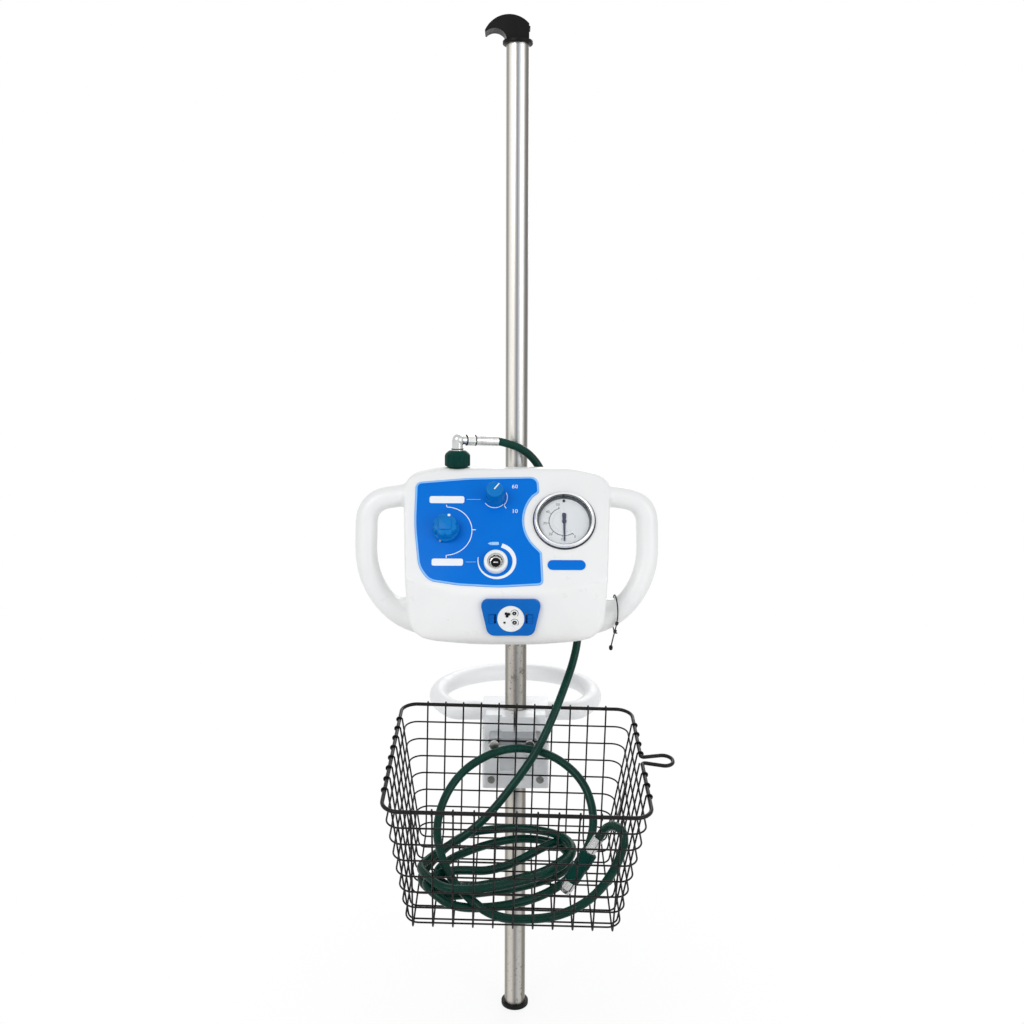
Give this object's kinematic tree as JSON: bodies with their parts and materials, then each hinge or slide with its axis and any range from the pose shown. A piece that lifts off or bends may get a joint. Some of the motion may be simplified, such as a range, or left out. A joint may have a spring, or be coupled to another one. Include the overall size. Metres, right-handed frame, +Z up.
{
  "type": "gas-driven airway therapy controller on a pole",
  "caption": "Airway therapy controller with knobs, pressure gauge and breathing connector, clamped to a steel pole with a wire basket and a coiled green gas hose.",
  "frame": {"origin": "centre of the underside of the pole foot", "axes": "+Z up the pole, +X to the operator's right, -Y towards the operator, so the control panel faces -Y"},
  "size_m": [0.4314, 0.5933, 1.4615],
  "materials": {
    "stainless": "satin drawn tube",
    "black_plastic": "moulded, fine grain",
    "white_shell": "moulded, fine texture",
    "zinc": "zinc plated",
    "black_rubber": "matt",
    "blue_panel": "printed film",
    "blue_knob": "moulded",
    "brass": "machined",
    "white_gloss": "moulded",
    "chrome": "polished",
    "aluminium": "machined",
    "clear_lens": "clear",
    "dial_white": "printed",
    "dark_paint": "painted",
    "clear_tube": "translucent",
    "black_wire": "powder coated",
    "grey_plastic": "moulded",
    "green_hose": "smooth, slight gloss",
    "green_nut": "moulded",
    "black_string": "braided"
  },
  "bodies": {
    "stand": {"pole_tube": "stainless", "pole_foot_cap": "black_plastic", "pole_hook_cap": "black_plastic", "front_housing": "white_shell", "rear_cover": "white_shell", "housing_screws": "zinc", "console_feet": "black_rubber", "panel_overlay": "blue_panel", "badge_plate": "blue_panel", "flow_collar": "white_gloss", "valve_cartridges": "brass", "valve_manifold": "aluminium", "gauge_case": "chrome", "gauge_bezel": "chrome", "gauge_lens": "clear_lens", "gauge_dial": "dial_white", "gauge_movement": "brass", "connector_block": "blue_panel", "connector_disc": "white_gloss", "pressure_regulator": "brass", "inlet_body": "brass", "air_tubes": "clear_tube", "clamp_frame": "white_shell", "loop_handle": "white_gloss", "handle_clamp_front": "white_shell", "handle_clamp_rear": "white_shell", "handle_clamp_bolts": "zinc", "basket_rim": "black_wire", "basket_front_wires": "black_wire", "basket_back_wires": "black_wire", "basket_left_wires": "black_wire", "basket_right_wires": "black_wire", "basket_floor_wires": "black_wire", "basket_bracket": "grey_plastic", "bracket_screws": "zinc", "basket_strap": "black_rubber", "hose_supply_run": "green_hose", "hose_arch": "green_hose", "hose_end_run": "green_hose", "hose_coil": "green_hose", "inlet_nipple": "chrome", "hose_elbow": "chrome", "hose_hex_nut": "chrome", "hose_ferrules": "chrome", "end_nipple": "chrome", "tether_cord": "black_string", "tether_bead": "black_string"},
    "mode_control": {"mode_knob": "blue_knob", "mode_stem": "brass"},
    "rate_control": {"rate_knob": "blue_knob", "rate_stem": "brass"},
    "flow_control": {"flow_stem": "chrome"},
    "needle": {"gauge_needle": "dark_paint"},
    "left_latch_tab": {"left_latch": "blue_knob"},
    "right_latch_tab": {"right_latch": "blue_knob"},
    "inlet_nut": {"inlet_hand_nut": "green_nut"},
    "end_nut": {"end_hand_nut": "green_nut"},
    "jaw": {"clamp_jaw": "black_plastic"},
    "clamp_grip": {"clamp_screw": "zinc", "clamp_knob": "black_plastic"}
  },
  "joints": [
    {"name": "mode_knob_turn", "type": "hinge", "parent": "stand", "child": "mode_control", "pos_m": [-0.0959, -0.11906, 0.77015], "axis": [0, -0.848, 0.5299], "range_deg": [-180, 0]},
    {"name": "rate_knob_turn", "type": "hinge", "parent": "stand", "child": "rate_control", "pos_m": [-0.03, -0.09309, 0.81171], "axis": [0, -0.848, 0.5299], "range_deg": [-90, 0]},
    {"name": "flow_stem_turn", "type": "hinge", "parent": "stand", "child": "flow_control", "pos_m": [-0.0278, -0.13978, 0.72756], "axis": [0, -0.848, 0.5299], "range_deg": [0, 270]},
    {"name": "needle_swing", "type": "hinge", "parent": "stand", "child": "needle", "pos_m": [0.065, -0.10523, 0.77908], "axis": [0, -0.848, 0.5299], "range_deg": [-170, 30], "stiffness_Nm_per_rad": 0.002},
    {"name": "left_latch_press", "type": "slide", "parent": "stand", "child": "left_latch_tab", "axis": [1, 0, 0], "range_m": [0, 0.0025], "stiffness_N_per_m": 400},
    {"name": "right_latch_press", "type": "slide", "parent": "stand", "child": "right_latch_tab", "axis": [-1, 0, 0], "range_m": [0, 0.0025], "stiffness_N_per_m": 400},
    {"name": "inlet_nut_turn", "type": "hinge", "parent": "stand", "child": "inlet_nut", "pos_m": [-0.083, -0.051, 0.862], "axis": [0, 0, 1], "continuous": true},
    {"name": "end_nut_turn", "type": "hinge", "parent": "stand", "child": "end_nut", "pos_m": [0.08863, -0.23486, 0.35083], "axis": [-0.5242, -0.0629, -0.8493], "continuous": true},
    {"name": "jaw_slide", "type": "slide", "parent": "stand", "child": "jaw", "axis": [-1, 0, 0], "range_m": [0, 0.004]},
    {"name": "clamp_screw_turn", "type": "hinge", "parent": "jaw", "child": "clamp_grip", "pos_m": [-0.09, 0, 0.745], "axis": [-1, 0, 0], "range_deg": [0, 720]}
  ],
  "couplings": [
    {"joint": "clamp_screw_turn", "follows": "jaw_slide", "rad_per_m": 3141.6}
  ]
}
